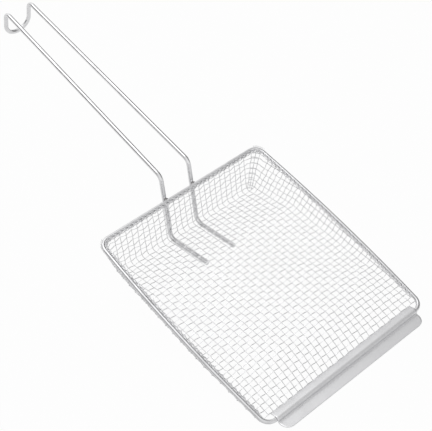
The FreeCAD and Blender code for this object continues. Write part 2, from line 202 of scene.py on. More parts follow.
class PanShape:
    """The surface that the woven cloth follows, drawn in the rim's own frame."""

    def __init__(self, sizes: ScoopSizes) -> None:
        """Works the pan's places out from the driving sizes."""
        self.sizes = sizes
        bow = sizes.rim_bow
        self.side_radius = (sizes.rim_length ** 2 / 4 + bow ** 2) / (2 * bow)
        self.side_middle = sizes.rim_width / 2 + bow - self.side_radius
        self.lean = math.radians(sizes.lean)
        self.wall_in, self.wall_up = self.wall_axes(Vector((-1, 0, 0)))
        self.foot_along = direction(sizes.foot_rise)
        self.foot_up = direction(sizes.foot_rise + 90)
        self.rod_offset = -(sizes.rim_radius + sizes.rod_gap + sizes.rod_radius)
        bend_start = self.wall_in * (self.rod_offset + sizes.bend)
        drop = (self.height(bend_start) - sizes.bend - sizes.rod_radius) / math.cos(
            self.lean - math.radians(sizes.tilt))
        self.bend_centre = bend_start - self.wall_up * drop
        half_turn = math.radians(90 - sizes.lean + sizes.foot_rise) / 2
        self.foot_corner = (self.bend_centre - self.wall_in * sizes.bend
                            - self.wall_up * (sizes.bend * math.tan(half_turn)))
        self.foot_end = self.foot_corner + self.foot_along * sizes.foot_length
        self.top_corner = (self.wall_in * self.rod_offset
                           + self.wall_up * (sizes.rod_rise / math.cos(self.lean)))
        self.leaf_along = direction(sizes.lip_leaf_angle)
        self.leaf_up = direction(sizes.lip_leaf_angle + 90)
        self.seat = sizes.rim_radius + sizes.lip_clearance
        self.front = Vector((sizes.rim_length, 0, 0))

    def wall_axes(self, outwards: Vector) -> tuple[Vector, Vector]:
        """Directions into the pan and up the leaning wall that faces this way."""
        inward = UP * math.sin(self.lean) - outwards * math.cos(self.lean)
        return inward, UP * math.cos(self.lean) + outwards * math.sin(self.lean)

    def height(self, point: Vector) -> float:
        """Height of a point above the table."""
        sizes = self.sizes
        tilt = math.radians(sizes.tilt)
        return (sizes.rim_radius + sizes.above_table
                + (sizes.rim_length - point.x) * math.sin(tilt) + point.z * math.cos(tilt))

    def standing(self) -> Matrix:
        """Turn and shift that set the scoop down on the table, its middle over the origin."""
        sizes = self.sizes
        turn = Matrix.Rotation(math.radians(sizes.tilt), 3, "Y")
        hook = self.hook_corner() - UP * (sizes.hook_drop + sizes.hook_width / 2)
        rear = (turn @ hook).x - sizes.rod_radius
        blade = (turn @ self.front).x + sizes.lip_blade
        shift = Vector((-(rear + blade) / 2, 0, self.height(Vector((0, 0, 0)))))
        return Matrix.Translation(shift) @ turn.to_4x4()

    def hook_corner(self) -> Vector:
        """Corner where the rod turns down at the end of the handle."""
        along = direction(180 - self.sizes.handle_rise)
        return self.top_corner + along * self.sizes.handle_length

    def rim_side(self, x: float) -> float:
        """Half the rim's width at x."""
        from_middle = x - self.sizes.rim_length / 2
        return self.side_middle + math.sqrt(self.side_radius ** 2 - from_middle ** 2)

    def rim_line(self, step: float) -> list[Vector]:
        """Middle line of one half of the rim, from the middle of the back to that of the front."""
        corner, length = self.sizes.rim_corner, self.sizes.rim_length
        side_centre = Vector((length / 2, self.side_middle, 0))
        line = [Vector((0, 0, 0))]
        for x, outwards in ((corner, -1), (length - corner, 1)):
            reach = math.sqrt((self.side_radius - corner) ** 2 - (x - length / 2) ** 2)
            centre = Vector((x, side_centre.y + reach, 0))
            on_side = centre + (centre - side_centre).normalized() * corner
            on_end = centre + Vector((outwards * corner, 0, 0))
            if outwards < 0:
                line += arc(centre, on_end, on_side, step)
                side_start = on_side
            else:
                line += arc(side_centre, side_start, on_side, 4 * step)[1:]
                line += arc(centre, on_side, on_end, step)[1:]
        line.append(self.front.copy())
        return line


@dataclass(frozen=True)
class ClothSizes:
    """Sizes of the woven cloth in metres and degrees."""

    wire_radius: float = 0.35 * MM
    sides: int = 8
    steps_per_cell: int = 4
    across_pitch: float = 6.7 * MM
    along_pitch: float = 5.6 * MM
    lengthwise_crimp: float = 0.18 * MM
    crosswise_crimp: float = 0.9 * MM
    straight_below_rim: float = 1 * MM
    crimp_fade: float = 2 * MM
    wall_offset: float = -1.85 * MM
    fold_radius: float = 7 * MM
    fold_share: float = 0.7
    lip_gap: float = 0.2 * MM
    side_start: float = 8 * MM
    top_row_depth: float = 4 * MM
    corner_radius: float = 8 * MM
    corner_wires: int = 3
    corner_depth: float = 6 * MM
    corner_gather: float = 0.35
    back_turns: tuple[float, ...] = (12, 25, 40, 55, 68)
    back_lift: float = -0.6
    side_turns: tuple[float, ...] = (25, 45, 65, 80)
    side_lift: float = 0.5
    fewest_points: int = 8
    hook_reach: float = 1.6 * MM
    hook_start: float = -52
    hook_steps: int = 14
    tail: float = 3.2 * MM
    tail_lean: float = 0.25
    hem_crimp: float = 0.6 * MM
    hem_lip_gap: float = 4 * MM
    hem_places: tuple[tuple[float, float], ...] = (
        (2.55 * MM, 1.35 * MM), (2.9 * MM, -0.3 * MM), (3.4 * MM, 0.5 * MM), (3.2 * MM, -1.6 * MM))


@dataclass(frozen=True)
class ClothForm:
    """How the pressed cloth departs from flat faces, in metres."""

    belly: float = 9 * MM
    belly_lead: float = 15 * MM
    belly_skew: float = 2.2
    drift: float = 8 * MM
    drift_start: float = 110 * MM
    wander: float = 0.9 * MM
    wander_scale: float = 38 * MM
    ripple_scale: float = 0.3
    ripple_share: float = 0.35
    rim_hold: float = 3 * MM
    rim_fade: float = 6 * MM
    lip_hold: float = 4 * MM
    lip_fade: float = 18 * MM
    foot_fade: float = 20 * MM


class Cloth:
    """Woven cloth folded into a pan, as a track for each of its wires."""

    def __init__(self, shape: PanShape, sizes: ClothSizes, form: ClothForm) -> None:
        """Works out where the floor lies and where the crosswise wires are.

        Args:
            shape: The pan that the cloth follows.
            sizes: The cloth's own sizes.
            form: How it departs from flat faces.
        """
        self.shape = shape
        self.sizes = sizes
        self.form = form
        to_rod = shape.sizes.rod_radius + sizes.wire_radius + sizes.crosswise_crimp
        self.inner_bend = shape.sizes.bend - to_rod
        self.floor_start = shape.bend_centre - shape.foot_up * self.inner_bend
        self.floor_knee = shape.foot_end + shape.foot_up * to_rod
        leaf_back = (shape.front + shape.leaf_up * shape.seat
                     - shape.leaf_along * shape.sizes.lip_leaf)
        self.floor_end = leaf_back - UP * (
            sizes.wire_radius + sizes.crosswise_crimp + sizes.lip_gap)
        self.back = self._back_track()
        self.floor_from = self.back.length - self._floor_length()

    def _floor_length(self) -> float:
        """Length of the floor from the end of the back fold to the lip."""
        return ((self.floor_knee - self.floor_start).length
                + (self.floor_end - self.floor_knee).length)

    def floor_height(self, x: float) -> float:
        """Height of the floor at x."""
        start, end = ((self.floor_start, self.floor_knee) if x < self.floor_knee.x
                      else (self.floor_knee, self.floor_end))
        return start.z + (end.z - start.z) * (x - start.x) / (end.x - start.x)

    def wall_side(self, x: float, depth: float) -> float:
        """Half the pan's width at x, this far below the rim."""
        lean = self.shape.lean
        return (self.shape.rim_side(x) - self.sizes.wall_offset / math.cos(lean)
                - depth * math.tan(lean))

    def wall_back(self, depth: float) -> float:
        """Place along X of the back wall, this far below the rim."""
        lean = self.shape.lean
        return self.sizes.wall_offset / math.cos(lean) + depth * math.tan(lean)

    def hook(self, centre: Vector, inward: Vector, up: Vector) -> list[Vector]:
        """Points from a wire's tail inside the rim, over the rim and down its outside.

        Args:
            centre: Middle of the rim wire where the cloth goes over it.
            inward: Direction into the pan, square to the wall.
            up: Direction up the wall.

        Returns:
            The points, from the tail outwards.
        """
        sizes = self.sizes
        span = (180 - sizes.hook_start) / sizes.hook_steps
        turned = [math.radians(sizes.hook_start + span * n) for n in range(sizes.hook_steps + 1)]
        over = [centre + (inward * math.cos(a) + up * math.sin(a)) * sizes.hook_reach
                for a in turned]
        tail = over[0] - up * sizes.tail - inward * (sizes.tail_lean * sizes.tail)
        return [tail] + over

    def _back_track(self) -> Track:
        """Track of a lengthwise wire from its tail at the back to the lip."""
        shape = self.shape
        points = self.hook(Vector((0, 0, 0)), shape.wall_in, shape.wall_up)
        bend = arc(shape.bend_centre, shape.bend_centre - shape.wall_in * self.inner_bend,
                   self.floor_start, 1 * MM)
        points += bend + [self.floor_knee, self.floor_end]
        return Track(points, side_normals(points, ACROSS))

    def across_track(self, x: float) -> Track:
        """Track of a crosswise wire from the middle of the floor to its tail on the far side."""
        inward, up = self.shape.wall_axes(ACROSS)
        floor = self.floor_height(x)
        over = self.hook(Vector((x, self.shape.rim_side(x), 0)), inward, up)[::-1]
        fold = Vector((x, self.wall_side(x, -floor), floor))
        radius = min(self.sizes.fold_radius, self.sizes.fold_share * (over[0] - fold).length)
        path = rounded([Vector((x, 0, floor)), fold, over[0]], [radius], 1 * MM) + over[1:]
        return Track(path, side_normals(path, Vector((-1, 0, 0))))

    def row_phase(self, x: float) -> float:
        """Number of crosswise rows from the end of the back fold to x on the floor."""
        knee = (self.floor_knee - self.floor_start).length
        if x <= self.floor_knee.x:
            share = (x - self.floor_start.x) / (self.floor_knee.x - self.floor_start.x)
            return share * knee / self.sizes.along_pitch
        share = (x - self.floor_knee.x) / (self.floor_end.x - self.floor_knee.x)
        rest = share * (self.floor_end - self.floor_knee).length
        return (knee + rest) / self.sizes.along_pitch

    def row_places(self) -> list[float]:
        """Places along X of the crosswise wires on the floor."""
        pitch = self.sizes.along_pitch
        count = int(self._floor_length() / pitch)
        return [self.back.point(self.floor_from + row * pitch).x for row in range(count + 1)]

    def corner(self, depth: float, turn: float) -> tuple[Vector, Vector]:
        """Point on the rounded corner between the back wall and the far side wall.

        Args:
            depth: Distance below the rim.
            turn: Degrees round the corner from the back wall.

        Returns:
            The point and the direction out of the pan there.
        """
        rim_corner, low = self.shape.sizes.rim_corner - self.sizes.wall_offset, -self.floor_start.z
        radius = rim_corner + (self.sizes.corner_radius - rim_corner) * min(1.0, depth / low)
        back = self.wall_back(depth)
        side = self.wall_side(back + radius, depth)
        a = math.radians(turn)
        outwards = Vector((-math.cos(a), math.sin(a), 0))
        point = Vector((back + radius, side - radius, -depth)) + outwards * radius
        return point, -self.shape.wall_axes(outwards)[0]

    def belly(self, point: Vector) -> Vector:
        """How far the pressed floor bulges up, and its wires drift sideways, at a point."""
        form = self.form
        start, end = self.floor_knee.x - form.belly_lead, self.floor_end.x
        along = ramp(point.x, start, end - start)
        half = self.wall_side(point.x, -self.floor_height(point.x))
        inside = max(0.0, 1 - (point.y / half) ** 2)
        late = ramp(point.x, form.drift_start, end - form.drift_start)
        rise = form.belly * math.sin(math.pi * along ** form.belly_skew)
        return (UP * rise - ACROSS * (form.drift * late ** 2)) * inside

    def wander(self, point: Vector) -> Vector:
        """How far the cloth strays from its flat faces at a point."""
        form = self.form
        free = (ramp(-point.z, form.rim_hold, form.rim_fade)
                * ramp(self.floor_end.x - point.x, form.lip_hold, form.lip_fade))
        past_rods = ramp(point.x, self.floor_knee.x, form.foot_fade)
        ripple = noise.noise_vector(point / (form.ripple_scale * form.wander_scale))
        shift = (noise.noise_vector(point / form.wander_scale)
                 + ripple * form.ripple_share) * form.wander
        lift = shift.z * past_rods + abs(shift.z) * (1 - past_rods)
        return Vector((shift.x * past_rods, shift.y, lift)) * free + self.belly(point)


class WireSet:
    """Centre lines of many wires, with the way that each point is crimped."""

    def __init__(self, cloth: Optional[Cloth] = None) -> None:
        """Starts a set with no wires, which strays as the cloth does where one is given."""
        self.cloth = cloth
        self.points: list[Vector] = []
        self.lifts: list[Vector] = []
        self.edges: list[tuple[int, int]] = []

    def add(self, points: Sequence[Vector], lifts: Optional[Sequence[Vector]] = None,
            both_sides: bool = False, closed: bool = False) -> None:
        """Adds one wire.

        Args:
            points: Points along the wire.
            lifts: Direction and share of the crimp at each point, none for a plain wire.
            both_sides: Adds the mirrored wire as well.
            closed: Joins the last point to the first.
        """
        lifts = lifts or [Vector((0, 0, 0))] * len(points)
        start = len(self.points)
        self.points.extend(points)
        self.lifts.extend(lifts)
        self.edges += [(n, n + 1) for n in range(start, len(self.points) - 1)]
        if closed:
            self.edges.append((len(self.points) - 1, start))
        if both_sides:
            self.add([mirrored(point) for point in points], [mirrored(lift) for lift in lifts])

    def mesh(self, name: str, place: Matrix) -> bpy.types.Mesh:
        """Lines through the wires' points, with the crimp kept as an attribute.

        Args:
            name: Name of the mesh.
            place: Turn and shift from the rim's frame to the table's.

        Returns:
            A mesh of edges only.
        """
        stray = self.cloth.wander if self.cloth else (lambda point: Vector((0, 0, 0)))
        data = bpy.data.meshes.new(name)
        data.from_pydata([place @ (point + stray(point)) for point in self.points], self.edges, [])
        turn = place.to_3x3()
        lift = data.attributes.new("lift", "FLOAT_VECTOR", "POINT")
        lift.data.foreach_set("vector", [value for one in self.lifts for value in turn @ one])
        return data


class Weave:
    """The wires of the cloth: over and under each other, hemmed over the rim."""

    def __init__(self, cloth: Cloth) -> None:
        """Keeps the cloth and the step between two points of a wire."""
        self.cloth = cloth
        self.sizes = cloth.sizes
        self.rows = cloth.row_places()
        self.low = -cloth.floor_start.z

    def _steps(self, start: float, end: float, pitch: float) -> np.ndarray:
        """Distances from start to end, with the cloth's number of steps to each cell."""
        count = max(2, math.ceil(abs(end - start) / pitch * self.sizes.steps_per_cell))
        return np.linspace(start, end, count + 1)

    def _loose(self, point: Vector) -> float:
        """Share of the crimp that a wire keeps at a point: none where it goes over the rim."""
        return ramp(-point.z, self.sizes.straight_below_rim, self.sizes.crimp_fade)

    def lengthwise(self) -> WireSet:
        """Wires that run from the back to the lip, or along the side walls."""
        wires = WireSet(self.cloth)
        cloth, pitch = self.cloth, self.sizes.across_pitch
        half_floor = cloth.wall_side(cloth.floor_start.x, self.low) - 2 * MM
        across = 0.5 * pitch
        number = 0
        while across < cloth.across_track(cloth.floor_start.x).length:
            if across < half_floor:
                self._add_over_back(wires, number, across)
            else:
                self._add_along_side(wires, number, across)
            across += pitch
            number += 1
        return wires

    def _add_over_back(self, wires: WireSet, number: int, across: float) -> None:
        """Adds a wire from its tail at the back, down the back wall and along the floor."""
        cloth = self.cloth
        points, lifts = [], []
        for distance in self._steps(0, cloth.back.length, self.sizes.along_pitch):
            rows = (distance - cloth.floor_from) / self.sizes.along_pitch
            point = cloth.back.point(distance)
            wave = math.cos(math.pi * (rows + number)) * self._loose(point)
            points.append(point + ACROSS * across)
            lifts.append(cloth.back.normal(distance) * -wave)
        wires.add(points, lifts, both_sides=True)

    def _add_along_side(self, wires: WireSet, number: int, across: float) -> None:
        """Adds a wire that starts in the corner and runs along the side wall to the hem."""
        cloth = self.cloth
        points, lifts = [], []
        for x in self._steps(self.sizes.side_start, self.rows[-1], self.sizes.along_pitch):
            track = cloth.across_track(x)
            if across > track.length - self.sizes.tail:
                break
            point = track.point(across)
            corner_end = cloth.corner(-point.z, 90)[0].x
            if x < corner_end:
                continue
            if not points:
                for turn in self.sizes.side_turns:
                    bent, outwards = cloth.corner(-point.z, turn)
                    points.append(bent)
                    lifts.append(outwards * self.sizes.side_lift)
            points.append(point)
            wave = math.cos(math.pi * (cloth.row_phase(x) + number)) * self._loose(point)
            lifts.append(track.normal(across) * -wave)
        if len(points) > self.sizes.fewest_points:
            wires.add(points, lifts, both_sides=True)

    def crosswise(self) -> WireSet:
        """Wires that run across the floor and up the side walls, or across the back wall."""
        wires = WireSet(self.cloth)
        for row, x in enumerate(self.rows):
            self._add_across(wires, row, x)
        row = -1
        while True:
            distance = self.cloth.floor_from + row * self.sizes.along_pitch
            point = self.cloth.back.point(distance)
            if point.z > -self.sizes.top_row_depth:
                return wires
            self._add_on_back(wires, row, distance)
            row -= 1

    def _add_across(self, wires: WireSet, row: int, x: float) -> None:
        """Adds one wire across the floor, up both walls and over the rim."""
        track = self.cloth.across_track(x)
        pitch = self.sizes.across_pitch
        distances = self._steps(0, track.length, pitch)
        far, near = [], []
        for distance in distances:
            point, normal = track.point(distance), track.normal(distance)
            loose = self._loose(point)
            wave = math.cos(math.pi * (distance / pitch - 0.5 + row)) * loose
            far.append((point, normal * wave))
            wave = math.cos(math.pi * (-distance / pitch - 0.5 + row)) * loose
            near.append((mirrored(point), mirrored(normal) * wave))
        points, lifts = zip(*(near[:0:-1] + far))
        wires.add(points, lifts)

    def _add_on_back(self, wires: WireSet, row: int, distance: float) -> None:
        """Adds one wire across the back wall, its ends run into the corners."""
        cloth, pitch = self.cloth, self.sizes.across_pitch
        middle, normal = cloth.back.point(distance), cloth.back.normal(distance)
        start, _ = cloth.corner(-middle.z, 0)
        points, lifts = [], []
        for y in self._steps(-start.y, start.y, pitch):
            points.append(Vector((middle.x, y, middle.z)))
            lifts.append(normal * math.cos(math.pi * (y / pitch - 0.5 + row)))
        for turn in self.sizes.back_turns:
            bent, outwards = cloth.corner(-middle.z, turn)
            bent.x += middle.x - start.x
            points.append(bent)
            lifts.append(outwards * self.sizes.back_lift)
            points.insert(0, mirrored(bent))
            lifts.insert(0, mirrored(outwards) * self.sizes.back_lift)
        wires.add(points, lifts)

    def corners(self) -> WireSet:
        """Wires that fan up the two back corners, and the cloth gathered there."""
        wires = WireSet(self.cloth)
        sizes, shape = self.sizes, self.cloth.shape
        rim_corner = shape.sizes.rim_corner
        middle = Vector((rim_corner, shape.rim_side(rim_corner) - rim_corner, 0))
        for number in range(sizes.corner_wires):
            turn = 90 * (number + 1) / (sizes.corner_wires + 1)
            a = math.radians(turn)
            outwards = Vector((-math.cos(a), math.sin(a), 0))
            points = self.cloth.hook(middle + outwards * rim_corner, *shape.wall_axes(outwards))
            lifts = [Vector((0, 0, 0))] * len(points)
            depths = self._steps(sizes.corner_depth, self.low, sizes.along_pitch)
            for step, depth in enumerate(depths):
                spread = turn + (45 - turn) * sizes.corner_gather * depth / self.low
                bent, normal = self.cloth.corner(depth, spread)
                points.append(bent)
                lifts.append(normal * math.cos(math.pi * (step / sizes.steps_per_cell + number)))
            wires.add(points, lifts, both_sides=True)
        return wires

    def hem(self) -> WireSet:
        """Wires that lie packed inside the rim, where the cloth's edge is turned under."""
        wires = WireSet()
        shape, pitch = self.cloth.shape, self.sizes.along_pitch
        line = shape.rim_line(1 * MM)
        track = Track(line, side_normals(line, UP))
        end = self.rows[-1] - self.sizes.hem_lip_gap
        for number, (reach, above) in enumerate(self.sizes.hem_places):
            points, lifts = [], []
            for distance in self._steps(0, track.length, pitch):
                point = track.point(distance)
                if point.x > end:
                    break
                inward, up = shape.wall_axes(-track.normal(distance))
                points.append(point + inward * reach + up * above)
                lifts.append(inward * math.cos(2 * math.pi * distance / pitch + number))
            wires.add([mirrored(point) for point in points[:0:-1]] + points,
                      [mirrored(lift) for lift in lifts[:0:-1]] + lifts)
        return wires


class NodeNet:
    """A node tree whose nodes all come from one method."""

    def __init__(self, tree: bpy.types.NodeTree) -> None:
        """Keeps the tree and empties it."""
        self.tree = tree
        tree.nodes.clear()

    def node(self, kind: str, settings: Optional[dict[str, Any]] = None,
             inputs: Optional[dict[Union[int, str], Any]] = None) -> bpy.types.Node:
        """Adds a node.

        Args:
            kind: Blender's name of the node type.
            settings: Properties of the node, which are set first.
            inputs: Value, wrapped socket or socket for each named input.

        Returns:
            The new node.
        """
        node = self.tree.nodes.new(kind)
        for name, value in (settings or {}).items():
            setattr(node, name, value)
        for name, value in (inputs or {}).items():
            value = value.socket if isinstance(value, Value) else value
            if isinstance(value, bpy.types.NodeSocket):
                self.tree.links.new(value, node.inputs[name])
            else:
                node.inputs[name].default_value = value
        return node


Number = Union["Value", float]


class Value:
    """A number in a shader, which takes part in Python expressions."""

    def __init__(self, net: NodeNet, socket: bpy.types.NodeSocket) -> None:
        """Wraps an output socket."""
        self.net = net
        self.socket = socket

    def _math(self, operation: str, first: Number, second: Number) -> "Value":
        """Adds a Math node on two numbers."""
        node = self.net.node("ShaderNodeMath", {"operation": operation}, {0: first, 1: second})
        return Value(self.net, node.outputs[0])

    def __add__(self, other: Number) -> "Value":
        """Sum of this number and another."""
        return self._math("ADD", self, other)

    __radd__ = __add__

    def __sub__(self, other: Number) -> "Value":
        """This number less another."""
        return self._math("SUBTRACT", self, other)

    def __mul__(self, other: Number) -> "Value":
        """Product of this number and another."""
        return self._math("MULTIPLY", self, other)

    __rmul__ = __mul__

    def clamped(self) -> "Value":
        """This number kept between 0 and 1."""
        return self._math("MAXIMUM", self._math("MINIMUM", self, 1.0), 0.0)


def placed(name: str, data: bpy.types.ID) -> bpy.types.Object:
    """Puts a new object with this data into the scene."""
    item = bpy.data.objects.new(name, data)
    bpy.context.scene.collection.objects.link(item)
    return item


class WireTree:
    """Geometry Nodes that crimp centre lines and sweep a round section along them."""

    def __init__(self) -> None:
        """Builds the tree, with named inputs for its sizes."""
        self.group = bpy.data.node_groups.new("swept_wires", "GeometryNodeTree")
        face = self.group.interface
        face.new_socket("Geometry", in_out="INPUT", socket_type="NodeSocketGeometry")
        face.new_socket("Geometry", in_out="OUTPUT", socket_type="NodeSocketGeometry")
        self.inputs = {
            name: face.new_socket(name, in_out="INPUT", socket_type=kind).identifier
            for name, kind in (
                ("Wire Radius", "NodeSocketFloat"), ("Crimp Height", "NodeSocketFloat"),
                ("Sides", "NodeSocketInt"), ("Finish", "NodeSocketMaterial"))
        }
        net = NodeNet(self.group)
        given = net.node("NodeGroupInput").outputs
        lift = net.node("GeometryNodeInputNamedAttribute", {"data_type": "FLOAT_VECTOR"},
                        {"Name": "lift"})
        offset = net.node("ShaderNodeVectorMath", {"operation": "SCALE"},
                          {0: lift.outputs[0], "Scale": given["Crimp Height"]})
        crimped = net.node("GeometryNodeSetPosition", None,
                           {"Geometry": given["Geometry"], "Offset": offset.outputs[0]})
        lines = net.node("GeometryNodeMeshToCurve", None, {0: crimped.outputs[0]})
        section = net.node("GeometryNodeCurvePrimitiveCircle", None,
                           {"Resolution": given["Sides"], "Radius": given["Wire Radius"]})
        swept = net.node("GeometryNodeCurveToMesh", None,
                         {"Curve": lines.outputs[0], "Profile Curve": section.outputs[0],
                          "Fill Caps": True})
        smooth = net.node("GeometryNodeSetShadeSmooth", None, {0: swept.outputs[0]})
        plain = net.node("GeometryNodeRealizeInstances", None, {0: smooth.outputs[0]})
        dressed = net.node("GeometryNodeSetMaterial", None,
                           {"Geometry": plain.outputs[0], "Material": given["Finish"]})
        net.node("NodeGroupOutput", None, {0: dressed.outputs[0]})

    def sweep(self, name: str, lines: bpy.types.Mesh, values: dict[str, Any]) -> bpy.types.Object:
        """Makes a plain mesh of wires.

        Args:
            name: Name of the piece.
            lines: The wires' centre lines.
            values: Value for each named input of the tree.

        Returns:
            The piece, at the origin, with no modifier left on it.
        """
        carrier = placed(name, lines)
        modifier = carrier.modifiers.new("wires", "NODES")
        modifier.node_group = self.group
        for label, value in values.items():
            modifier[self.inputs[label]] = value
        result = carrier.evaluated_get(bpy.context.evaluated_depsgraph_get())
        mesh = bpy.data.meshes.new_from_object(result)
        bpy.data.objects.remove(carrier)
        mesh.name = name
        return add_piece(name, mesh)


def add_piece(name: str, mesh: bpy.types.Mesh) -> bpy.types.Object:
    """Puts a mesh into the scene, its faces outwards and its ends left crisp.

    Args:
        name: Name of the piece.
        mesh: Its mesh, in its place.

    Returns:
        The new object, at the origin.
    """
    shell = bmesh.new()
    shell.from_mesh(mesh)
    bmesh.ops.recalc_face_normals(shell, faces=shell.faces)
    shell.to_mesh(mesh)
    shell.free()
    mesh.set_sharp_from_angle(angle=SHARP_ANGLE)
    return placed(name, mesh)


@dataclass(frozen=True)
class MetalFinish:
    """Look of one plated steel surface."""

    name: str
    slot: Slot
    color: tuple[float, float, float]
    dull_color: tuple[float, float, float]
    roughness: float
    roughness_spread: float
    patch_size: float
    grain: Grain
    grain_size: float
    grain_height: float
    patch_detail: float = 3.0
    grain_detail: float = 2.0
    dull_from: float = 0.45
    dull_gain: float = 4.0
    rolled_stretch: float = 0.02

    def material(self) -> bpy.types.Material:
        """Node material of this finish, in Object coordinates."""
        material = bpy.data.materials.new(self.name)
        material.use_nodes = True
        net = NodeNet(material.node_tree)
        place = net.node("ShaderNodeTexCoord").outputs["Object"]
        patches = self._noise(net, place, self.patch_size, self.patch_detail)
        if self.grain is Grain.ROLLED:
            along_strip = net.node("ShaderNodeVectorMath", {"operation": "MULTIPLY"},
                                   {0: place, 1: (1.0, self.rolled_stretch, 1.0)})
            place = along_strip.outputs[0]
        grain = self._noise(net, place, self.grain_size, self.grain_detail)
        dull = ((patches - self.dull_from) * self.dull_gain).clamped()
        color = net.node("ShaderNodeMix", {"data_type": "RGBA"},
                         {0: dull, 6: (*self.color, 1.0), 7: (*self.dull_color, 1.0)})
        roughness = self.roughness + self.roughness_spread * (dull + grain - 0.5)
        bump = net.node("ShaderNodeBump", None,
                        {"Height": grain, "Distance": self.grain_height, "Strength": 1.0})
        shader = net.node("ShaderNodeBsdfPrincipled", None, {
            "Base Color": color.outputs[2], "Roughness": roughness, "Metallic": 1.0,
            "Normal": bump.outputs[0]})
        net.node("ShaderNodeOutputMaterial", None, {"Surface": shader.outputs[0]})
        return material

    @staticmethod
    def _noise(net: NodeNet, place: bpy.types.NodeSocket, size: float, detail: float) -> Value:
        """Noise whose spots are about this size in metres."""
        node = net.node("ShaderNodeTexNoise", None,
                        {"Vector": place, "Scale": 1 / size, "Detail": detail})
        return Value(net, node.outputs[0])


@dataclass(frozen=True)
class Finishes:
    """The finishes of all pieces."""

    rod: MetalFinish = MetalFinish(
        "bright_rod", Slot.ROD, (0.78, 0.78, 0.79), (0.68, 0.68, 0.69),
        0.2, 0.08, 12 * MM, Grain.DRAWN, 0.6 * MM, 0.02 * MM)
    rim: MetalFinish = MetalFinish(
        "bright_rim", Slot.RIM, (0.74, 0.74, 0.75), (0.64, 0.64, 0.65),
        0.32, 0.1, 10 * MM, Grain.DRAWN, 0.6 * MM, 0.02 * MM)
    weld: MetalFinish = MetalFinish(
        "weld", Slot.ROD, (0.42, 0.41, 0.41), (0.25, 0.24, 0.24),
        0.45, 0.2, 2 * MM, Grain.DRAWN, 0.8 * MM, 0.15 * MM)
    wire: MetalFinish = MetalFinish(
        "cloth_wire", Slot.MESH, (0.8, 0.8, 0.81), (0.7, 0.7, 0.71),
        0.25, 0.15, 7 * MM, Grain.DRAWN, 0.5 * MM, 0.03 * MM)
    sheet: MetalFinish = MetalFinish(
        "satin_sheet", Slot.LIP, (0.77, 0.77, 0.78), (0.74, 0.74, 0.75),
        0.44, 0.08, 18 * MM, Grain.ROLLED, 0.5 * MM, 0.02 * MM)


def dress(piece: bpy.types.Object, finish: MetalFinish, material: bpy.types.Material,
          *nodes: str) -> None:
    """Gives a piece its material and places it among the record's nodes.

    Args:
        piece: The piece.
        finish: Its finish; not used.
        material: The material made from the finish.
        nodes: Solid parts that the piece stands for.
    """
    piece.data.materials.clear()
    piece.data.materials.append(material)
    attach(piece, "root")
    if nodes:
        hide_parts(*nodes)
    LOG.info("%s: %d faces", piece.name, len(piece.data.polygons))


@dataclass
class BentWire:
    """A heavy round wire bent along one path."""

    shape: PanShape
    sides: int = 24
    bend_step: float = 0.9 * MM

    def sweep(self, tree: WireTree, name: str, lines: WireSet, radius: float,
              finish: MetalFinish, node: str) -> None:
        """Sweeps the wire and dresses it.

        Args:
            tree: Geometry Nodes that sweep it.
            name: Name of the piece.
            lines: Its centre line.
            radius: Radius of the wire.
            finish: Its finish.
            node: Solid part that it stands for.
        """
        metal = finish.material()
        piece = tree.sweep(name, lines.mesh(name + "_line", self.shape.standing()), {
            "Wire Radius": radius, "Crimp Height": 0.0, "Sides": self.sides, "Finish": metal})
        dress(piece, finish, metal, node)


@dataclass
class Handle(BentWire):
    """The rod bent into the handle, its hanging loop and the feet under the pan."""

    weld_radius: float = 2.1 * MM
    weld_detail: int = 4
    weld_shape: tuple[float, float, float] = (0.7, 1.25, 0.9)
    weld_lump: float = 1.2 * MM
    weld_lump_height: float = 0.3 * MM

    def path(self) -> list[Vector]:
        """Centre line of the rod from one foot to the other."""
        shape, sizes = self.shape, self.shape.sizes
        rod_side = ACROSS * (sizes.rod_spacing / 2)
        hook_side = ACROSS * (sizes.hook_width / 2)
        corner = shape.hook_corner()
        loop_centre = corner - UP * sizes.hook_drop
        half = rounded(
            [shape.foot_end - rod_side, shape.foot_corner - rod_side, shape.top_corner - rod_side,
             corner - hook_side, loop_centre - hook_side],
            [sizes.bend, sizes.bend, sizes.hook_bend], self.bend_step)
        bottom = loop_centre - UP * (sizes.hook_width / 2)
        quarter = arc(loop_centre, half[-1], bottom, self.bend_step)[1:]
        near = half + quarter
        return near + [mirrored(point) for point in near[-2::-1]]

    def build(self, tree: WireTree, finishes: Finishes) -> None:
        """Builds the rod and the welds that hold it to the rim."""
        lines = WireSet()
        lines.add(self.path())
        self.sweep(tree, "handle_rod", lines, self.shape.sizes.rod_radius, finishes.rod, "handle")
        dress(self._welds(), finishes.weld, finishes.weld.material())

    def _welds(self) -> bpy.types.Object:
        """Beads where the two rods cross the back of the rim."""
        sizes = self.shape.sizes
        beads = bmesh.new()
        for side in (-1, 1):
            middle = (self.shape.wall_in * -(sizes.rim_radius + sizes.rod_gap / 2)
                      + ACROSS * (side * sizes.rod_spacing / 2))
            place = self.shape.standing() @ Matrix.Translation(middle) @ Matrix.Diagonal(
                (*self.weld_shape, 1))
            ball = bmesh.ops.create_icosphere(
                beads, subdivisions=self.weld_detail, radius=self.weld_radius, matrix=place)
            for vertex in ball["verts"]:
                lump = noise.noise_vector(vertex.co / self.weld_lump)
                vertex.co += lump * self.weld_lump_height
        mesh = bpy.data.meshes.new("rod_welds")
        beads.to_mesh(mesh)
        beads.free()
        mesh.shade_smooth()
        return add_piece("rod_welds", mesh)


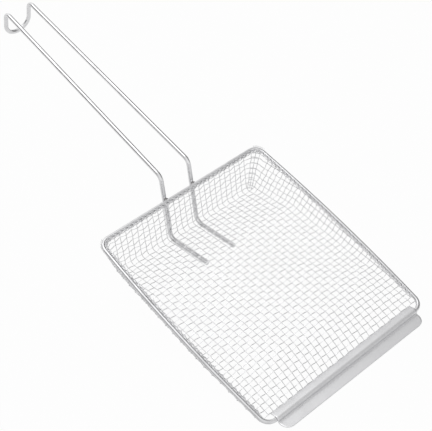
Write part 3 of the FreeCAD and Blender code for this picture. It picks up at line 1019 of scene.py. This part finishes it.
@dataclass
class Rim(BentWire):
    """The wire that the cloth is hemmed over."""

    def build(self, tree: WireTree, finishes: Finishes) -> None:
        """Builds the closed rim wire."""
        half = self.shape.rim_line(self.bend_step)
        lines = WireSet()
        lines.add(half + [mirrored(point) for point in half[-2:0:-1]], closed=True)
        self.sweep(tree, "rim_ring", lines, self.shape.sizes.rim_radius, finishes.rim, "rim_wire")


@dataclass
class Pan:
    """The woven cloth, as three sets of wires and the hem."""

    cloth: Cloth

    def build(self, tree: WireTree, finishes: Finishes) -> None:
        """Builds every wire of the cloth."""
        sizes = self.cloth.sizes
        weave = Weave(self.cloth)
        metal = finishes.wire.material()
        place = self.cloth.shape.standing()
        for name, wires, crimp in (
                ("cloth_lengthwise", weave.lengthwise(), sizes.lengthwise_crimp),
                ("cloth_crosswise", weave.crosswise(), sizes.crosswise_crimp),
                ("cloth_corners", weave.corners(), sizes.crosswise_crimp),
                ("cloth_hem", weave.hem(), sizes.hem_crimp)):
            piece = tree.sweep(name, wires.mesh(name + "_lines", place), {
                "Wire Radius": sizes.wire_radius, "Crimp Height": crimp, "Sides": sizes.sides,
                "Finish": metal})
            dress(piece, finishes.wire, metal, "mesh_pan")


@dataclass
class Lip:
    """The strip of sheet folded over the front of the rim, with its flat blade."""

    shape: PanShape
    step: float = 0.7 * MM
    columns: int = 96
    corner_rows: int = 14
    edge_radius: float = 0.25 * MM
    edge_segments: int = 2

    def profile(self) -> list[Vector]:
        """Middle line of the sheet in the side view, from the leaf's edge to the blade's."""
        shape, sizes = self.shape, self.shape.sizes
        half = sizes.lip_thickness / 2
        along, up = direction(sizes.tilt), direction(sizes.tilt + 90)
        seat = shape.seat + half
        leaf_top = shape.front + shape.leaf_up * seat
        bend = sizes.lip_bend + half
        drop = shape.height(shape.front) - sizes.lip_thickness - sizes.lip_bend
        bend_centre = shape.front + along * (seat + bend) - up * drop
        tip = (shape.front + along * sizes.lip_blade
               - up * (shape.height(shape.front) - half))
        path = [leaf_top - shape.leaf_along * sizes.lip_leaf]
        path += arc(shape.front, leaf_top, shape.front + along * seat, self.step)
        path += arc(bend_centre, bend_centre - along * bend, bend_centre - up * bend, self.step)
        return path + [tip]

    def build(self, finishes: Finishes) -> None:
        """Builds the strip as a sheet with its thickness and rounded edges."""
        sizes = self.shape.sizes
        line = self.profile()
        track = Track(line, line)
        half_width = sizes.rim_width / 2 - sizes.rim_corner
        corner_from = track.length - sizes.lip_corner
        rows = sorted(set(np.round(np.concatenate([
            track.at, np.linspace(corner_from, track.length, self.corner_rows)]), 6)))
        place = self.shape.standing()
        points, faces = [], []
        for distance in rows:
            inside = max(0.0, distance - corner_from)
            cut = sizes.lip_corner - math.sqrt(max(0.0, sizes.lip_corner ** 2 - inside ** 2))
            middle = track.point(distance)
            for column in range(self.columns + 1):
                y = (2 * column / self.columns - 1) * (half_width - cut)
                points.append(place @ (middle + ACROSS * y))
        width = self.columns + 1
        for row in range(len(rows) - 1):
            for column in range(self.columns):
                first = row * width + column
                faces.append((first, first + 1, first + width + 1, first + width))
        mesh = bpy.data.meshes.new("lip_strip")
        mesh.from_pydata(points, [], faces)
        mesh.shade_smooth()
        strip = add_piece("lip_strip", mesh)
        wall = strip.modifiers.new("sheet", "SOLIDIFY")
        wall.thickness = sizes.lip_thickness
        wall.offset = 0.0
        edge = strip.modifiers.new("rounded_edges", "BEVEL")
        edge.width = self.edge_radius
        edge.segments = self.edge_segments
        edge.limit_method = "ANGLE"
        edge.angle_limit = SHARP_ANGLE
        dress(strip, finishes.sheet, finishes.sheet.material(), "front_lip")


@dataclass(frozen=True)
class CameraPlace:
    """Where the camera stands, in metres, and how it looks."""

    position: tuple[float, float, float] = (0.6227, -0.4998, 0.8179)
    view: tuple[float, float, float] = (-0.5234, 0.4683, -0.7118)
    up: tuple[float, float, float] = (-0.5281, 0.4773, 0.7023)
    lens: float = 93.25
    sensor: float = 36.0


@dataclass(frozen=True)
class DarkZone:
    """Part of the room that metal mirrors darker than the rest."""

    towards: tuple[float, float, float]
    start: float
    gain: float
    darkness: float

    def dimming(self, net: NodeNet, ray: bpy.types.NodeSocket) -> Value:
        """How much light this zone takes from a mirrored ray.

        Args:
            net: Node tree of the world.
            ray: Direction of the ray.

        Returns:
            The light lost, none outside the zone.
        """
        facing = net.node("ShaderNodeVectorMath", {"operation": "DOT_PRODUCT"},
                          {0: ray, 1: self.towards})
        depth = (Value(net, facing.outputs["Value"]) - self.start) * self.gain
        return depth.clamped() * self.darkness


@dataclass
class Studio:
    """Pale floor, soft light and the camera."""

    place: CameraPlace = CameraPlace()
    floor_size: float = 4.0
    floor_color: float = 0.6
    floor_drop: float = 0.1 * MM
    shown_white: float = 0.97
    mirrored_white: float = 0.75
    room_light: float = 0.65
    zones: tuple[DarkZone, ...] = (
        DarkZone((-0.45, -0.89, 0.0), 0.7, 4.0, 0.85),
        DarkZone((0.25, 0.92, 0.3), 0.48, 4.0, 0.35),
        DarkZone((0.0, 1.0, 0.1), 0.62, 5.0, 0.5),
    )
    key_power: float = 3.5
    key_size: float = 0.8
    key_position: tuple[float, float, float] = (-0.5, -0.15, 1.28)

    def build(self) -> None:
        """Builds the stage and sets the scene's camera."""
        scene = bpy.context.scene
        scene.view_settings.view_transform = "Standard"
        self._world(scene)
        self._floor()
        self._key()
        self._camera(scene)

    def _seen(self, net: NodeNet) -> Value:
        """Is 1 for rays that show the background, and 0 for rays that light the object."""
        path = net.node("ShaderNodeLightPath").outputs
        seen = (Value(net, path["Is Camera Ray"]) + Value(net, path["Is Glossy Ray"])
                + Value(net, path["Is Transmission Ray"]))
        return seen.clamped()

    def _world(self, scene: bpy.types.Scene) -> None:
        """White where it is seen, dimmer where it lights, with dark zones where it is mirrored."""
        world = bpy.data.worlds.new("studio")
        scene.world = world
        world.use_nodes = True
        net = NodeNet(world.node_tree)
        towards = net.node("ShaderNodeTexCoord").outputs["Generated"]
        mirrored = Value(net, net.node("ShaderNodeLightPath").outputs["Is Glossy Ray"])
        strength = self.room_light + (1.0 - self.room_light) * self._seen(net)
        for zone in self.zones:
            strength = strength - mirrored * zone.dimming(net, towards)
        light = net.node("ShaderNodeBackground", None,
                         {"Color": (1.0, 1.0, 1.0, 1.0), "Strength": strength})
        net.node("ShaderNodeOutputWorld", None, {"Surface": light.outputs[0]})

    def _floor(self) -> None:
        """Table top that shows nearly white and keeps the object's shadow."""
        half = self.floor_size / 2
        mesh = bpy.data.meshes.new("table")
        corners = [(-half, -half), (half, -half), (half, half), (-half, half)]
        mesh.from_pydata([(x, y, -self.floor_drop) for x, y in corners], [], [(0, 1, 2, 3)])
        table = placed("table", mesh)
        material = bpy.data.materials.new("pale_table")
        material.use_nodes = True
        net = NodeNet(material.node_tree)
        grey = (self.floor_color, self.floor_color, self.floor_color, 1.0)
        matt = net.node("ShaderNodeBsdfDiffuse", None, {"Color": grey})
        white = net.node("ShaderNodeEmission", None, {"Color": (1.0, 1.0, 1.0, 1.0)})
        path = net.node("ShaderNodeLightPath").outputs
        share = (Value(net, path["Is Camera Ray"]) * self.shown_white
                 + Value(net, path["Is Glossy Ray"]) * self.mirrored_white)
        mix = net.node("ShaderNodeMixShader", None, {
            0: share, 1: matt.outputs[0], 2: white.outputs[0]})
        net.node("ShaderNodeOutputMaterial", None, {"Surface": mix.outputs[0]})
        mesh.materials.append(material)

    def _key(self) -> None:
        """Soft light from above the handle."""
        light = bpy.data.lights.new("key", "AREA")
        light.energy = self.key_power
        light.size = self.key_size
        key = placed("key", light)
        key.location = self.key_position
        key.rotation_euler = (-Vector(self.key_position)).to_track_quat("-Z", "Y").to_euler()

    def _camera(self, scene: bpy.types.Scene) -> None:
        """Camera at the photograph's place."""
        data = bpy.data.cameras.new("camera")
        data.lens = self.place.lens
        data.sensor_width = self.place.sensor
        back = -Vector(self.place.view).normalized()
        up = Vector(self.place.up).normalized()
        right = up.cross(back).normalized()
        turn = Matrix((right, back.cross(right), back)).transposed()
        camera = placed("camera", data)
        camera.matrix_world = Matrix.Translation(self.place.position) @ turn.to_4x4()
        scene.camera = camera


def main() -> None:
    """Builds the scoop and its studio."""
    logging.basicConfig(level=logging.INFO, format="%(name)s: %(message)s")
    noise.seed_set(NOISE_SEED)
    shape = PanShape(ScoopSizes())
    finishes = Finishes()
    tree = WireTree()
    Handle(shape).build(tree, finishes)
    Rim(shape).build(tree, finishes)
    Pan(Cloth(shape, ClothSizes(), ClothForm())).build(tree, finishes)
    Lip(shape).build(finishes)
    Studio().build()


if __name__ == "__main__":
    main()
